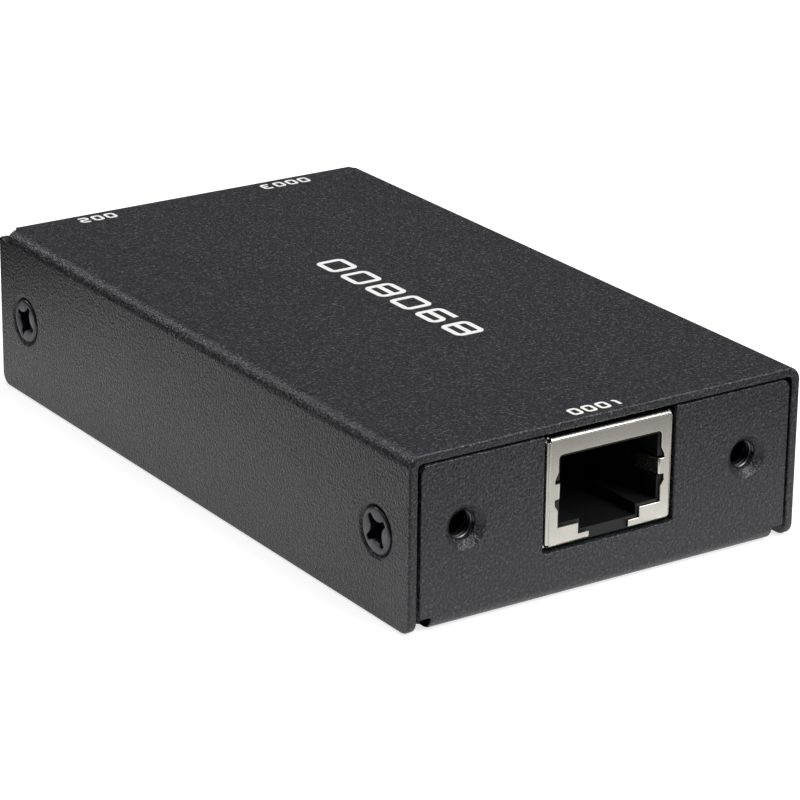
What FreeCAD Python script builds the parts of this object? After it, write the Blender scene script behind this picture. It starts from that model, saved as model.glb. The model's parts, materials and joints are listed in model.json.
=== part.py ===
"""A small shielded KVM dongle: a folded sheet-steel case around one circuit board.

A U-shaped top cover drops over a tray with bent-up ends, and four countersunk screws hold the two
together through the cover's long flanges. The board stands on four pressed-in standoffs. A shielded
network jack looks out of the front end through a notch that is open at the top, and a video port and
a data port look out of closed holes in the rear end.

Millimetres. +Z is up, the front end with the jack faces -Y, and the origin is at the middle of the
underside.
"""
import FreeCAD, Part
import math
import os
import re
import Sketcher

V = FreeCAD.Vector

# Name, value and meaning of each size that can be set by itself.
DRIVING = [
    ("case_width", 48.0, "over the cover's side flanges"),
    ("case_length", 84.0, "over the ends of the flanges"),
    ("cover_sheet", 1.0, "thickness of the cover's steel"),
    ("cover_bend", 1.5, "outer radius of the cover's two bends"),
    ("flange_corner", 1.4, "rounding of the flanges' lower corners"),
    ("ear_rise", 0.35, "flange that stands above the bend line behind the cover's top"),
    ("ear_corner", 0.3, "rounding of that ear"),
    ("bend_relief", 0.6, "slot that ends each cover bend at the rear"),
    ("tray_sheet", 1.0, "thickness of the tray's steel"),
    ("tray_bend", 1.5, "outer radius of the tray's bends"),
    ("tray_gap", 0.3, "between the tray's sides and the cover's flanges"),
    ("lid_gap", 0.2, "between the tray's end panels and the cover's top"),
    ("panel_corner", 1.0, "rounding of the end panels' upper corners"),
    ("corner_relief", 1.4, "width of the notch beside each end bend"),
    ("wall_setback", 2.2, "from an end of the case to the tray's side walls"),
    ("wall_above_screw", 4.0, "side wall above the cover screws"),
    ("wall_corner", 2.0, "rounding of the side walls' upper corners"),
    ("thread_size", 3.0, "thread of every screw and tapped hole"),
    ("thread_clearance", 0.05, "between a screw and its tapped hole"),
    ("screw_inset", 5.9, "from an end of the case to the cover screws"),
    ("screw_height", 9.2, "height of the cover screws"),
    ("screw_tail", 0.5, "cover screw beyond the collar it is tapped into"),
    ("head_size", 5.25, "head of a cover screw"),
    ("head_rim", 0.2, "straight rim of that head"),
    ("seat_clearance", 0.05, "between the head's cone and its countersink"),
    ("recess_span", 3.2, "cross recess over its arms"),
    ("recess_arm", 0.6, "width of an arm of the recess"),
    ("recess_flare", 0.45, "bevel between two arms of the recess"),
    ("recess_depth", 0.9, "depth of the recess"),
    ("recess_taper", 8.0, "slope of the recess's walls, in degrees"),
    ("boss_wall", 0.8, "wall of the collar drawn round each tapped hole"),
    ("boss_rise", 1.2, "collar beyond the sheet"),
    ("mount_inset", 5.3, "from a side edge of the front panel to its tapped holes"),
    ("mount_height", 10.2, "height of the front panel's tapped holes"),
    ("mount_mouth", 0.9, "how far their drawn mouths reach round the holes"),
    ("mount_draw", 0.4, "depth of those mouths"),
    ("standoff_height", 3.0, "from the tray's floor to the board"),
    ("standoff_size", 5.5, "standoff across its flats"),
    ("standoff_closed", 0.6, "bottom that closes a standoff's bore"),
    ("spigot_size", 4.2, "pressed-in foot of a standoff"),
    ("spigot_clearance", 0.02, "between that foot and the tray's hole"),
    ("board_thickness", 1.6, "circuit board"),
    ("board_gap", 0.5, "between the board's edges and the tray"),
    ("board_corner", 1.0, "rounding of the board's corners"),
    ("fixing_inset_side", 4.2, "from a board edge to its screws, across the case"),
    ("fixing_inset_end", 19.0, "from a board end to its screws, along the case"),
    ("pan_head_size", 5.4, "head of a board screw"),
    ("pan_head_height", 1.9, "height of that head"),
    ("pan_head_slope", 0.5, "how far its side leans in"),
    ("board_screw_length", 4.2, "shank of a board screw"),
    ("fixing_clearance", 0.1, "between a board screw and its hole in the board"),
    ("jack_width", 15.6, "network jack over its shield"),
    ("jack_height", 11.7, "network jack above the board"),
    ("jack_depth", 18.0, "network jack, front to rear"),
    ("jack_headroom", 0.5, "between the jack and the cover"),
    ("jack_side_gap", 0.3, "panel notch beside the jack"),
    ("jack_floor_gap", 0.45, "panel notch below the jack"),
    ("jack_notch_corner", 0.4, "rounding of the notch's lower corners"),
    ("shield_sheet", 0.25, "metal of the three ports' shields"),
    ("shield_bend", 0.45, "outer radius of the jack shield's folds"),
    ("fold_slot", 0.35, "relief where two folds of the shield meet"),
    ("leg_width", 1.6, "solder leg of a port's shield, along the case"),
    ("leg_inset", 7.5, "middle of those legs behind a port's face"),
    ("leg_tail", 0.8, "solder leg below the board"),
    ("leg_clearance", 0.15, "between a leg and its slot in the board"),
    ("insert_gap", 0.05, "between a port's shield and its plastic"),
    ("plug_width", 12.7, "plug window of the jack's face"),
    ("plug_roof", 1.95, "face above the plug window"),
    ("plug_floor", 2.05, "face below the plug window"),
    ("latch_width", 7.6, "upper step of the latch keyway"),
    ("latch_drop", 1.15, "depth of that step"),
    ("slot_width", 4.9, "lower step of the keyway, which splits the face"),
    ("cavity_depth", 12.5, "plug cavity behind the face"),
    ("cavity_inset", 0.3, "plastic that shows inside the plug window"),
    ("spring_height", 1.7, "side spring finger of the jack's shield"),
    ("spring_reach", 0.9, "how far that finger leans into the cavity"),
    ("spring_length", 3.0, "depth of the finger's bend behind the face"),
    ("spring_return", 2.2, "end of the finger beyond its bend"),
    ("spring_notch", 0.4, "notch beside the root of the finger"),
    ("spring_pocket", 0.2, "room in the plastic round the finger"),
    ("contact_count", 8, "contacts of the jack"),
    ("contact_pitch", 1.02, "spacing of those contacts"),
    ("contact_width", 0.45, "width of a contact"),
    ("contact_wire", 0.3, "thickness of a contact"),
    ("contact_drop", 2.6, "free end of a contact below the cavity's roof"),
    ("contact_front", 2.0, "hook of a contact behind the face"),
    ("contact_run", 8.0, "sloping length of a contact, along the cavity"),
    ("video_width", 14.6, "video port over its shield"),
    ("video_height", 6.0, "video port over its shield"),
    ("video_depth", 11.5, "video port, front to rear"),
    ("video_slope", 1.8, "sloping lower corners of the video port"),
    ("video_edge_gap", 0.3, "between the video port and the cover screws"),
    ("video_mouth", 0.6, "video port's tongue behind the port's face"),
    ("video_tongue_width", 11.4, "tongue of the video port"),
    ("video_tongue_sheet", 1.3, "thickness of that tongue"),
    ("video_tongue_length", 7.6, "length of that tongue"),
    ("video_pitch", 1.0, "spacing of the video port's contacts in a row"),
    ("video_upper_count", 10, "contacts over the video port's tongue"),
    ("video_lower_count", 9, "contacts below that tongue"),
    ("video_spring_width", 1.8, "spring finger of the video port's shield"),
    ("video_spring_inset", 4.6, "from the middle of the video port to those fingers"),
    ("video_spring_run", 3.6, "length of those fingers"),
    ("video_spring_drop", 0.5, "how far those fingers lean into the port"),
    ("data_width", 12.0, "data port over its shield"),
    ("data_height", 10.8, "data port over its shield"),
    ("data_depth", 16.0, "data port, front to rear"),
    ("data_slope", 2.0, "sloping upper corners of the data port"),
    ("data_edge_gap", 1.1, "between the data port and the cover screws"),
    ("data_mouth", 1.0, "data port's inner block behind the port's face"),
    ("data_opening_width", 8.6, "opening of the data port"),
    ("data_opening_height", 7.8, "opening of the data port"),
    ("data_tongue_width", 5.6, "tongue of the data port"),
    ("data_tongue_height", 3.2, "tongue of the data port"),
    ("data_cavity", 10.0, "depth of the data port's opening"),
    ("strip_width", 0.5, "contact strip in the video port"),
    ("strip_wide", 1.3, "contact strip in the data port"),
    ("strip_sheet", 0.15, "thickness of a contact strip"),
    ("port_gap", 0.3, "round each rear port in its panel hole"),
    ("part_gap", 2.0, "between rows of parts on the board"),
    ("transformer_width", 12.4, "network transformer"),
    ("transformer_length", 8.0, "network transformer, along the case"),
    ("transformer_height", 5.4, "network transformer"),
    ("encoder_side", 12.0, "square video chip"),
    ("encoder_height", 1.3, "video chip"),
    ("encoder_lid", 0.5, "metal lid of the video chip"),
    ("lid_margin", 1.5, "base that shows round that lid"),
    ("controller_side", 7.0, "square network chip"),
    ("memory_length", 9.0, "memory chip"),
    ("memory_width", 6.0, "memory chip"),
    ("chip_height", 1.0, "smaller chips"),
    ("crystal_length", 5.0, "crystal can"),
    ("crystal_width", 3.2, "crystal can"),
    ("lead_pitch", 1.0, "spacing of a chip's leads"),
    ("lead_length", 1.0, "lead beyond a chip's body"),
    ("lead_sheet", 0.2, "thickness of a lead"),
    ("regulator_width", 6.5, "voltage regulator"),
    ("regulator_length", 3.5, "voltage regulator"),
    ("regulator_height", 1.6, "voltage regulator"),
    ("coil_side", 5.0, "power inductor"),
    ("coil_height", 3.0, "power inductor"),
    ("capacitor_size", 5.0, "aluminium capacitor can"),
    ("capacitor_height", 5.4, "aluminium capacitor can"),
    ("capacitor_base", 0.8, "moulded base of a capacitor"),
    ("chip_part", 1.0, "length of a chip resistor or capacitor"),
    ("chip_part_pitch", 1.8, "spacing of those in a row"),
    ("chip_part_count", 7, "number of those in a row"),
]

# Sizes worked out from those above.
WORKED = [
    ("board_top", "tray_sheet + standoff_height + board_thickness"),
    ("case_height", "board_top + jack_height + jack_headroom + cover_sheet"),
    ("half_width", "case_width / 2"),
    ("half_length", "case_length / 2"),
    ("cover_under", "case_height - cover_sheet"),
    ("flange_inside", "half_width - cover_sheet"),
    ("bend_line", "case_height - cover_bend"),
    ("ear_top", "bend_line + ear_rise"),
    ("rear_step", "tray_sheet + lid_gap"),
    ("tray_half", "flange_inside - tray_gap"),
    ("tray_inside", "tray_half - tray_sheet"),
    ("end_inside", "half_length - tray_sheet"),
    ("panel_top", "cover_under - lid_gap"),
    ("wall_top", "screw_height + wall_above_screw"),
    ("screw_place", "half_length - screw_inset"),
    ("tapped_size", "thread_size + 2 * thread_clearance"),
    ("boss_size", "tapped_size + 2 * boss_wall"),
    ("countersink_size", "head_size + 2 * (head_rim + seat_clearance)"),
    ("head_cone", "(head_size - thread_size) / 2"),
    ("recess_knee", "recess_arm / 2 + recess_flare"),
    ("mount_place", "tray_half - mount_inset"),
    ("board_half_width", "tray_inside - board_gap"),
    ("board_half_length", "end_inside - board_gap"),
    ("fixing_x", "board_half_width - fixing_inset_side"),
    ("fixing_y", "board_half_length - fixing_inset_end"),
    ("standoff_corner", "standoff_size / sqrt(3)"),
    ("board_under", "tray_sheet + standoff_height"),
    ("jack_top", "board_top + jack_height"),
    ("jack_back", "jack_depth - half_length"),
    ("plug_top", "jack_top - plug_roof"),
    ("plug_bottom", "board_top + plug_floor"),
    ("latch_bottom", "plug_bottom - latch_drop"),
    ("spring_low", "(plug_top + plug_bottom - spring_height) / 2"),
    ("spring_high", "spring_low + spring_height"),
    ("screw_end", "tray_inside - boss_rise - screw_tail"),
    ("screw_length", "half_width - screw_end"),
    ("video_x", "screw_end - video_edge_gap - video_width / 2"),
    ("data_x", "data_edge_gap + data_width / 2 - screw_end"),
    ("video_middle", "board_top + video_height / 2"),
    ("data_middle", "board_top + data_height / 2"),
    ("transformer_y", "jack_back + part_gap + transformer_length / 2"),
    ("encoder_y", "transformer_y + transformer_length / 2 + 2 * part_gap + encoder_side / 2"),
    ("side_row_x", "encoder_side / 2 + lead_length + part_gap + controller_side / 2"),
    ("crystal_y", "encoder_y + controller_side / 2 + lead_length + part_gap + crystal_width / 2"),
    ("supply_y", "encoder_y - memory_length / 2 - part_gap - coil_side / 2"),
    ("chip_row_y", "encoder_y + encoder_side / 2 + part_gap"),
    ("capacitor_y", "chip_row_y + part_gap + capacitor_size"),
]

doc = FreeCAD.newDocument("KvmDongle")
sheet = doc.addObject("Spreadsheet::Sheet", "Sizes")
for row, (name, value, meaning) in enumerate(DRIVING, start=1):
    sheet.set("A%d" % row, meaning)
    sheet.set("B%d" % row, str(value))
    sheet.setAlias("B%d" % row, name)
for row, (name, formula) in enumerate(WORKED, start=len(DRIVING) + 1):
    sheet.set("A%d" % row, name.replace("_", " "))
    sheet.set("B%d" % row, "=" + formula)
    sheet.setAlias("B%d" % row, name)
doc.recompute()
nodes = []


def size(name):
    """The value of one named size, for code that needs a number."""
    return float(getattr(sheet, name))


def bound(formula):
    """A formula of named sizes as an expression that an object of the document can hold."""
    return re.sub("[a-z][a-z_]*", lambda name: "Sizes." + name.group(), formula)


def tie(item, prop, formula):
    """Bind one property of an object to a formula of named sizes."""
    item.setExpression(prop, bound(formula))


# ---- PartDesign helpers ----

def new_body(node):
    body = doc.addObject("PartDesign::Body", node.title().replace("_", ""))
    body.Label = node
    nodes.append(body)
    return body


def origin_item(body, role):
    return [item for item in body.Origin.OriginFeatures if item.Role == role][0]


def new_sketch(body, name, role, lift="0"):
    """A sketch on one of the body's own planes. On XZ_Plane a lift is towards -Y."""
    sketch = body.newObject("Sketcher::SketchObject", name)
    sketch.AttachmentSupport = [(origin_item(body, role), "")]
    sketch.MapMode = "FlatFace"
    tie(sketch, "AttachmentOffset.Base.z", lift)
    return sketch


def outline(sketch, corners):
    """A closed outline of straight lines, with both coordinates of each corner bound."""
    count = len(corners)
    first = sketch.GeometryCount
    spread = [V(math.cos(2 * math.pi * i / count), math.sin(2 * math.pi * i / count), 0)
              for i in range(count)]
    sketch.addGeometry([Part.LineSegment(spread[i], spread[(i + 1) % count])
                        for i in range(count)], False)
    joints = [Sketcher.Constraint("Coincident", first + i, 2, first + (i + 1) % count, 1)
              for i in range(count)]
    places = [Sketcher.Constraint(kind, -1, 1, first + i, 1, float(start))
              for i in range(count)
              for kind, start in zip(("DistanceX", "DistanceY"), spread[i])]
    held = sketch.addConstraint(joints + places)[count:]
    for constraint, formula in zip(held, [formula for place in corners for formula in place]):
        tie(sketch, "Constraints[%d]" % constraint, formula)


def circle(sketch, across, up, diameter):
    """A circle with its centre and diameter bound."""
    item = sketch.addGeometry(Part.Circle(V(1, 1, 0), V(0, 0, 1), 1), False)
    held = sketch.addConstraint([
        Sketcher.Constraint("DistanceX", -1, 1, item, 3, 1.0),
        Sketcher.Constraint("DistanceY", -1, 1, item, 3, 1.0),
        Sketcher.Constraint("Diameter", item, 2.0),
    ])
    for constraint, formula in zip(held, (across, up, diameter)):
        tie(sketch, "Constraints[%d]" % constraint, formula)


def block(sketch, left, right, low, high):
    outline(sketch, [(left, low), (right, low), (right, high), (left, high)])


def grow(body, kind, sketch, length, reverse=False, symmetric=False):
    """Pad or pocket a sketch over a bound length."""
    feature = body.newObject("PartDesign::" + kind, kind)
    feature.Profile = sketch
    feature.SideType = "Symmetric" if symmetric else "One side"
    feature.Reversed = reverse
    tie(feature, "Length", length)
    return changed(body, feature, adds=kind == "Pad")


def turn(body, kind, sketch, axis="V_Axis"):
    """Turn a sketch about one of its own axes, to add a round form or to cut one out."""
    feature = body.newObject("PartDesign::" + kind, kind)
    feature.Profile = sketch
    feature.ReferenceAxis = (sketch, [axis])
    feature.Angle = 360
    return changed(body, feature, adds=kind == "Revolution")


def changed(body, feature, adds):
    """Build a feature and see that the body grew, or shrank where the feature cuts."""
    before = body.Shape.Volume if not body.Shape.isNull() else 0.0
    doc.recompute()
    if (body.Shape.Volume > before) != adds or body.Shape.Volume == before:
        raise RuntimeError("%s of %s changes nothing" % (feature.Name, body.Label))
    return feature


def along(edge, direction):
    """Whether a straight edge runs in a direction."""
    line = edge.Vertexes[-1].Point - edge.Vertexes[0].Point
    return edge.Curve.TypeId == "Part::GeomLine" and line.cross(direction).Length < 1e-6


def round_off(body, radius, chosen, kind="Fillet"):
    """Fillet or chamfer the edges of the body's tip that a test chooses."""
    tip = body.Tip
    names = ["Edge%d" % i for i, edge in enumerate(tip.Shape.Edges, start=1) if chosen(edge)]
    if not names:
        raise RuntimeError("no edge to round on " + body.Label)
    feature = body.newObject("PartDesign::" + kind, kind)
    feature.Base = (tip, names)
    tie(feature, "Radius" if kind == "Fillet" else "Size", radius)
    doc.recompute()
    return feature


def mirror(body, features, role):
    """Repeat features on the far side of one of the body's planes."""
    feature = body.newObject("PartDesign::Mirrored", "Mirrored")
    feature.Originals = features
    feature.MirrorPlane = (origin_item(body, role), [""])
    body.Tip = feature
    doc.recompute()
    return feature


def repeat(body, feature, axis, pitch, count):
    """Repeat a feature in a row along one of the body's own axes."""
    row = body.newObject("PartDesign::LinearPattern", "Row")
    row.Originals = [feature]
    row.Direction = (origin_item(body, axis), [""])
    row.Mode = "Spacing"
    tie(row, "Offset", pitch)
    tie(row, "Occurrences", count)
    body.Tip = row
    doc.recompute()
    return row


def near(value, name, gap=1e-4):
    return abs(value - size(name)) < gap


def middle(edge):
    return edge.CenterOfMass


# ---- the case ----

# The rolled mouth of a drawn hole is turned from this many straight bands.
ROLL_BANDS = 2


def make_top_cover():
    """Top and two long flanges, folded from one sheet, with four countersunk holes."""
    body = new_body("top_cover")
    section = new_sketch(body, "CoverSection", "XZ_Plane")
    outline(section, [
        ("-half_width", "0"), ("-half_width", "case_height"),
        ("half_width", "case_height"), ("half_width", "0"),
        ("flange_inside", "0"), ("flange_inside", "cover_under"),
        ("-flange_inside", "cover_under"), ("-flange_inside", "0"),
    ])
    grow(body, "Pad", section, "case_length", symmetric=True)
    y_way = V(0, 1, 0)
    x_way = V(1, 0, 0)
    round_off(body, "cover_bend", lambda e: along(e, y_way)
              and near(middle(e).z, "case_height") and near(abs(middle(e).x), "half_width"))
    round_off(body, "cover_bend - cover_sheet", lambda e: along(e, y_way)
              and near(middle(e).z, "cover_under") and near(abs(middle(e).x), "flange_inside"))
    round_off(body, "flange_corner", lambda e: along(e, x_way)
              and abs(middle(e).z) < 1e-4 and near(abs(middle(e).y), "half_length"))

    step = new_sketch(body, "RearStep", "XZ_Plane", "rear_step - half_length")
    block(step, "-half_width", "half_width", "ear_top", "case_height")
    grow(body, "Pocket", step, "rear_step")
    slots = new_sketch(body, "BendReliefs", "XZ_Plane", "rear_step + bend_relief - half_length")
    block(slots, "half_width - cover_bend", "half_width", "bend_line", "case_height")
    block(slots, "-half_width", "cover_bend - half_width", "bend_line", "case_height")
    grow(body, "Pocket", slots, "bend_relief")
    round_off(body, "ear_corner", lambda e: along(e, x_way)
              and near(middle(e).z, "ear_top") and near(middle(e).y, "half_length"))

    seat = new_sketch(body, "Countersinks", "XY_Plane", "screw_height")
    tie(seat, "AttachmentOffset.Base.y", "screw_place")
    for side in ("", "-"):
        outline(seat, [
            (side + "half_width", "0"), (side + "half_width", "countersink_size / 2"),
            (side + "flange_inside", "countersink_size / 2 - cover_sheet"),
            (side + "flange_inside", "0"),
        ])
    mirror(body, [turn(body, "Groove", seat, "H_Axis")], "XZ_Plane")
    return body


def make_base_tray():
    """Floor, two ends and two side walls, folded from one sheet with a notch at each corner."""
    body = new_body("base_tray")
    x_way = V(1, 0, 0)
    y_way = V(0, 1, 0)
    section = new_sketch(body, "SideSection", "XZ_Plane")
    outline(section, [
        ("-tray_half", "0"), ("tray_half", "0"), ("tray_half", "wall_top"),
        ("tray_inside", "wall_top"), ("tray_inside", "tray_sheet"),
        ("-tray_inside", "tray_sheet"), ("-tray_inside", "wall_top"), ("-tray_half", "wall_top"),
    ])
    grow(body, "Pad", section, "case_length - 2 * wall_setback", symmetric=True)
    round_off(body, "tray_bend", lambda e: along(e, y_way) and abs(middle(e).z) < 1e-4)
    round_off(body, "tray_bend - tray_sheet", lambda e: along(e, y_way)
              and near(middle(e).z, "tray_sheet"))
    round_off(body, "wall_corner", lambda e: along(e, x_way) and near(middle(e).z, "wall_top"))

    ends = new_sketch(body, "EndSection", "YZ_Plane")
    outline(ends, [
        ("-half_length", "0"), ("half_length", "0"), ("half_length", "panel_top"),
        ("end_inside", "panel_top"), ("end_inside", "tray_sheet"),
        ("-end_inside", "tray_sheet"), ("-end_inside", "panel_top"),
        ("-half_length", "panel_top"),
    ])
    grow(body, "Pad", ends, "2 * (tray_half - corner_relief)", symmetric=True)
    round_off(body, "tray_bend", lambda e: along(e, x_way) and abs(middle(e).z) < 1e-4
              and near(abs(middle(e).y), "half_length"))
    round_off(body, "tray_bend - tray_sheet", lambda e: along(e, x_way)
              and near(middle(e).z, "tray_sheet") and near(abs(middle(e).y), "end_inside"))

    for name, lift, reverse in (("FrontPanel", "half_length", True),
                                ("RearPanel", "-half_length", False)):
        panel = new_sketch(body, name, "XZ_Plane", lift)
        block(panel, "-tray_half", "tray_half", "tray_bend", "panel_top")
        grow(body, "Pad", panel, "tray_sheet", reverse=reverse)
    round_off(body, "panel_corner", lambda e: along(e, y_way) and near(middle(e).z, "panel_top")
              and near(abs(middle(e).x), "tray_half"))

    notch = new_sketch(body, "JackNotch", "XZ_Plane", "end_inside")
    block(notch, "-(jack_width / 2 + jack_side_gap)", "jack_width / 2 + jack_side_gap",
          "board_top - jack_floor_gap", "case_height")
    grow(body, "Pocket", notch, "tray_sheet", reverse=True)
    round_off(body, "jack_notch_corner", lambda e: along(e, y_way) and middle(e).y < 0
              and abs(middle(e).z - size("board_top") + size("jack_floor_gap")) < 1e-4)

    holes = new_sketch(body, "PortHoles", "XZ_Plane", "-end_inside")
    outline(holes, video_outline("port_gap"))
    outline(holes, data_outline("port_gap"))
    grow(body, "Pocket", holes, "tray_sheet")

    collars = new_sketch(body, "MountCollars", "XZ_Plane", "end_inside")
    bores = new_sketch(body, "MountBores", "XZ_Plane", "half_length")
    for side in ("", "-"):
        circle(collars, side + "mount_place", "mount_height", "boss_size")
        circle(bores, side + "mount_place", "mount_height", "tapped_size")
    grow(body, "Pad", collars, "boss_rise", reverse=True)
    grow(body, "Pocket", bores, "tray_sheet + boss_rise")
    mouth = new_sketch(body, "MountMouth", "YZ_Plane", "mount_place")
    tie(mouth, "AttachmentOffset.Base.y", "mount_height")
    rolled = []
    for step in range(ROLL_BANDS + 1):
        angle = math.pi / 2 * step / ROLL_BANDS
        rolled.append(("%.4f * mount_draw - half_length" % (1 - math.cos(angle)),
                       "tapped_size / 2 + %.4f * mount_mouth" % (1 - math.sin(angle))))
    outline(mouth, [("-half_length", "0")] + rolled + [("mount_draw - half_length", "0")])
    mirror(body, [turn(body, "Groove", mouth, "H_Axis")], "YZ_Plane")

    collars = new_sketch(body, "ScrewCollars", "YZ_Plane", "tray_inside")
    bores = new_sketch(body, "ScrewBores", "YZ_Plane", "tray_half")
    for side in ("", "-"):
        circle(collars, side + "screw_place", "screw_height", "boss_size")
        circle(bores, side + "screw_place", "screw_height", "tapped_size")
    rings = grow(body, "Pad", collars, "boss_rise", reverse=True)
    mirror(body, [rings], "YZ_Plane")
    cuts = grow(body, "Pocket", bores, "tray_sheet + boss_rise")
    mirror(body, [cuts], "YZ_Plane")

    seats = new_sketch(body, "StandoffHoles", "XY_Plane", "tray_sheet")
    for x_side in ("", "-"):
        for y_side in ("", "-"):
            circle(seats, x_side + "fixing_x", y_side + "fixing_y",
                   "spigot_size + 2 * spigot_clearance")
    grow(body, "Pocket", seats, "tray_sheet")
    return body


def cross_recess(body, lift, angle=0):
    """A cross-shaped recess in a screw's head, narrower at the bottom and bevelled between arms."""
    cross = new_sketch(body, "CrossRecess", "XY_Plane", lift)
    cross.AttachmentOffset = FreeCAD.Placement(
        cross.AttachmentOffset.Base, FreeCAD.Rotation(V(0, 0, 1), angle))
    tip, arm, knee = "recess_span / 2", "recess_arm / 2", "recess_knee"
    quarter = [(tip, arm), (knee, arm), (arm, knee), (arm, tip)]
    corners = []
    for across_sign, up_sign, order in (("", "", 1), ("-", "", -1), ("-", "-", 1), ("", "-", -1)):
        corners += [(across_sign + across, up_sign + up) for across, up in quarter[::order]]
    outline(cross, corners)
    punched = grow(body, "Pocket", cross, "recess_depth")
    tie(punched, "TaperAngle", "-recess_taper")
    doc.recompute()


def make_cover_screw(node, x_side, y_side, angle):
    """A countersunk screw with a cross recess, flush in the cover and tapped into the tray."""
    body = new_body(node)
    half = new_sketch(body, "ScrewSection", "XZ_Plane")
    outline(half, [
        ("0", "0"), ("head_size / 2", "0"), ("head_size / 2", "-head_rim"),
        ("thread_size / 2", "-head_rim - head_cone"), ("thread_size / 2", "-screw_length"),
        ("0", "-screw_length"),
    ])
    turn(body, "Revolution", half)
    cross_recess(body, "0", angle)
    body.Placement = FreeCAD.Placement(V(), FreeCAD.Rotation(V(0, 1, 0), 90 * x_side))
    tie(body, "Placement.Base.x", ("" if x_side > 0 else "-") + "half_width")
    tie(body, "Placement.Base.y", ("" if y_side > 0 else "-") + "screw_place")
    tie(body, "Placement.Base.z", "screw_height")
    return body


# ---- the board and what holds it ----

def make_standoff(node, x_side, y_side):
    """A hexagonal tapped standoff, closed below and pressed into the tray's floor by its foot."""
    body = new_body(node)
    foot = new_sketch(body, "Foot", "XY_Plane")
    circle(foot, "0", "0", "spigot_size")
    grow(body, "Pad", foot, "tray_sheet")
    flats = new_sketch(body, "Flats", "XY_Plane", "tray_sheet")
    corner, half, across = "standoff_corner", "standoff_corner / 2", "standoff_size / 2"
    outline(flats, [
        (corner, "0"), (half, across), ("-" + half, across), ("-" + corner, "0"),
        ("-" + half, "-" + across), (half, "-" + across),
    ])
    grow(body, "Pad", flats, "standoff_height")
    bore = new_sketch(body, "Bore", "XY_Plane", "board_under")
    circle(bore, "0", "0", "tapped_size")
    grow(body, "Pocket", bore, "board_under - standoff_closed")
    tie(body, "Placement.Base.x", ("" if x_side > 0 else "-") + "fixing_x")
    tie(body, "Placement.Base.y", ("" if y_side > 0 else "-") + "fixing_y")
    return body


def make_board_screw(node, x_side, y_side):
    """A pan-head screw with a cross recess, through the board into its standoff."""
    body = new_body(node)
    half = new_sketch(body, "ScrewSection", "XZ_Plane")
    outline(half, [
        ("0", "-board_screw_length"), ("thread_size / 2", "-board_screw_length"),
        ("thread_size / 2", "0"), ("pan_head_size / 2", "0"),
        ("pan_head_size / 2 - pan_head_slope", "pan_head_height"), ("0", "pan_head_height"),
    ])
    turn(body, "Revolution", half)
    cross_recess(body, "pan_head_height")
    tie(body, "Placement.Base.x", ("" if x_side > 0 else "-") + "fixing_x")
    tie(body, "Placement.Base.y", ("" if y_side > 0 else "-") + "fixing_y")
    tie(body, "Placement.Base.z", "board_top")
    return body


# For each port, whose sizes start with its name: its middle, and the middle of its solder legs.
PORTS = {"jack": ("0", "leg_inset - half_length"),
         "video": ("video_x", "half_length - leg_inset"),
         "data": ("data_x", "half_length - leg_inset")}


def leg_plan(sketch, port, gap="0"):
    """The plan of the two solder legs of a port's shield, with a gap round each."""
    centre, along_y = PORTS[port]
    for side in ("+", "-"):
        across = "%s %s (%s_width - shield_sheet) / 2" % (centre, side, port)
        block(sketch, across + " - shield_sheet / 2 - " + gap, across + " + shield_sheet / 2 + " + gap,
              along_y + " - leg_width / 2 - " + gap, along_y + " + leg_width / 2 + " + gap)


def add_legs(body, port, wall):
    """The solder legs of a port's shield, from its side walls down through the board."""
    legs = new_sketch(body, "SolderLegs", "XY_Plane", "board_under - leg_tail")
    leg_plan(legs, port)
    grow(body, "Pad", legs, "leg_tail + board_thickness + " + wall)


def make_main_board():
    """The circuit board, with a hole at each standoff and a slot for each solder leg."""
    body = new_body("main_board")
    plan = new_sketch(body, "BoardPlan", "XY_Plane", "board_under")
    block(plan, "-board_half_width", "board_half_width", "-board_half_length", "board_half_length")
    grow(body, "Pad", plan, "board_thickness")
    round_off(body, "board_corner", lambda e: along(e, V(0, 0, 1)), kind="Chamfer")
    holes = new_sketch(body, "ScrewHoles", "XY_Plane", "board_top")
    for x_side in ("", "-"):
        for y_side in ("", "-"):
            circle(holes, x_side + "fixing_x", y_side + "fixing_y",
                   "thread_size + 2 * fixing_clearance")
    grow(body, "Pocket", holes, "board_thickness")
    slots = new_sketch(body, "LegSlots", "XY_Plane", "board_top")
    for port in PORTS:
        leg_plan(slots, port, "leg_clearance")
    grow(body, "Pocket", slots, "board_thickness")
    return body


# ---- the network jack ----

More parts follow.
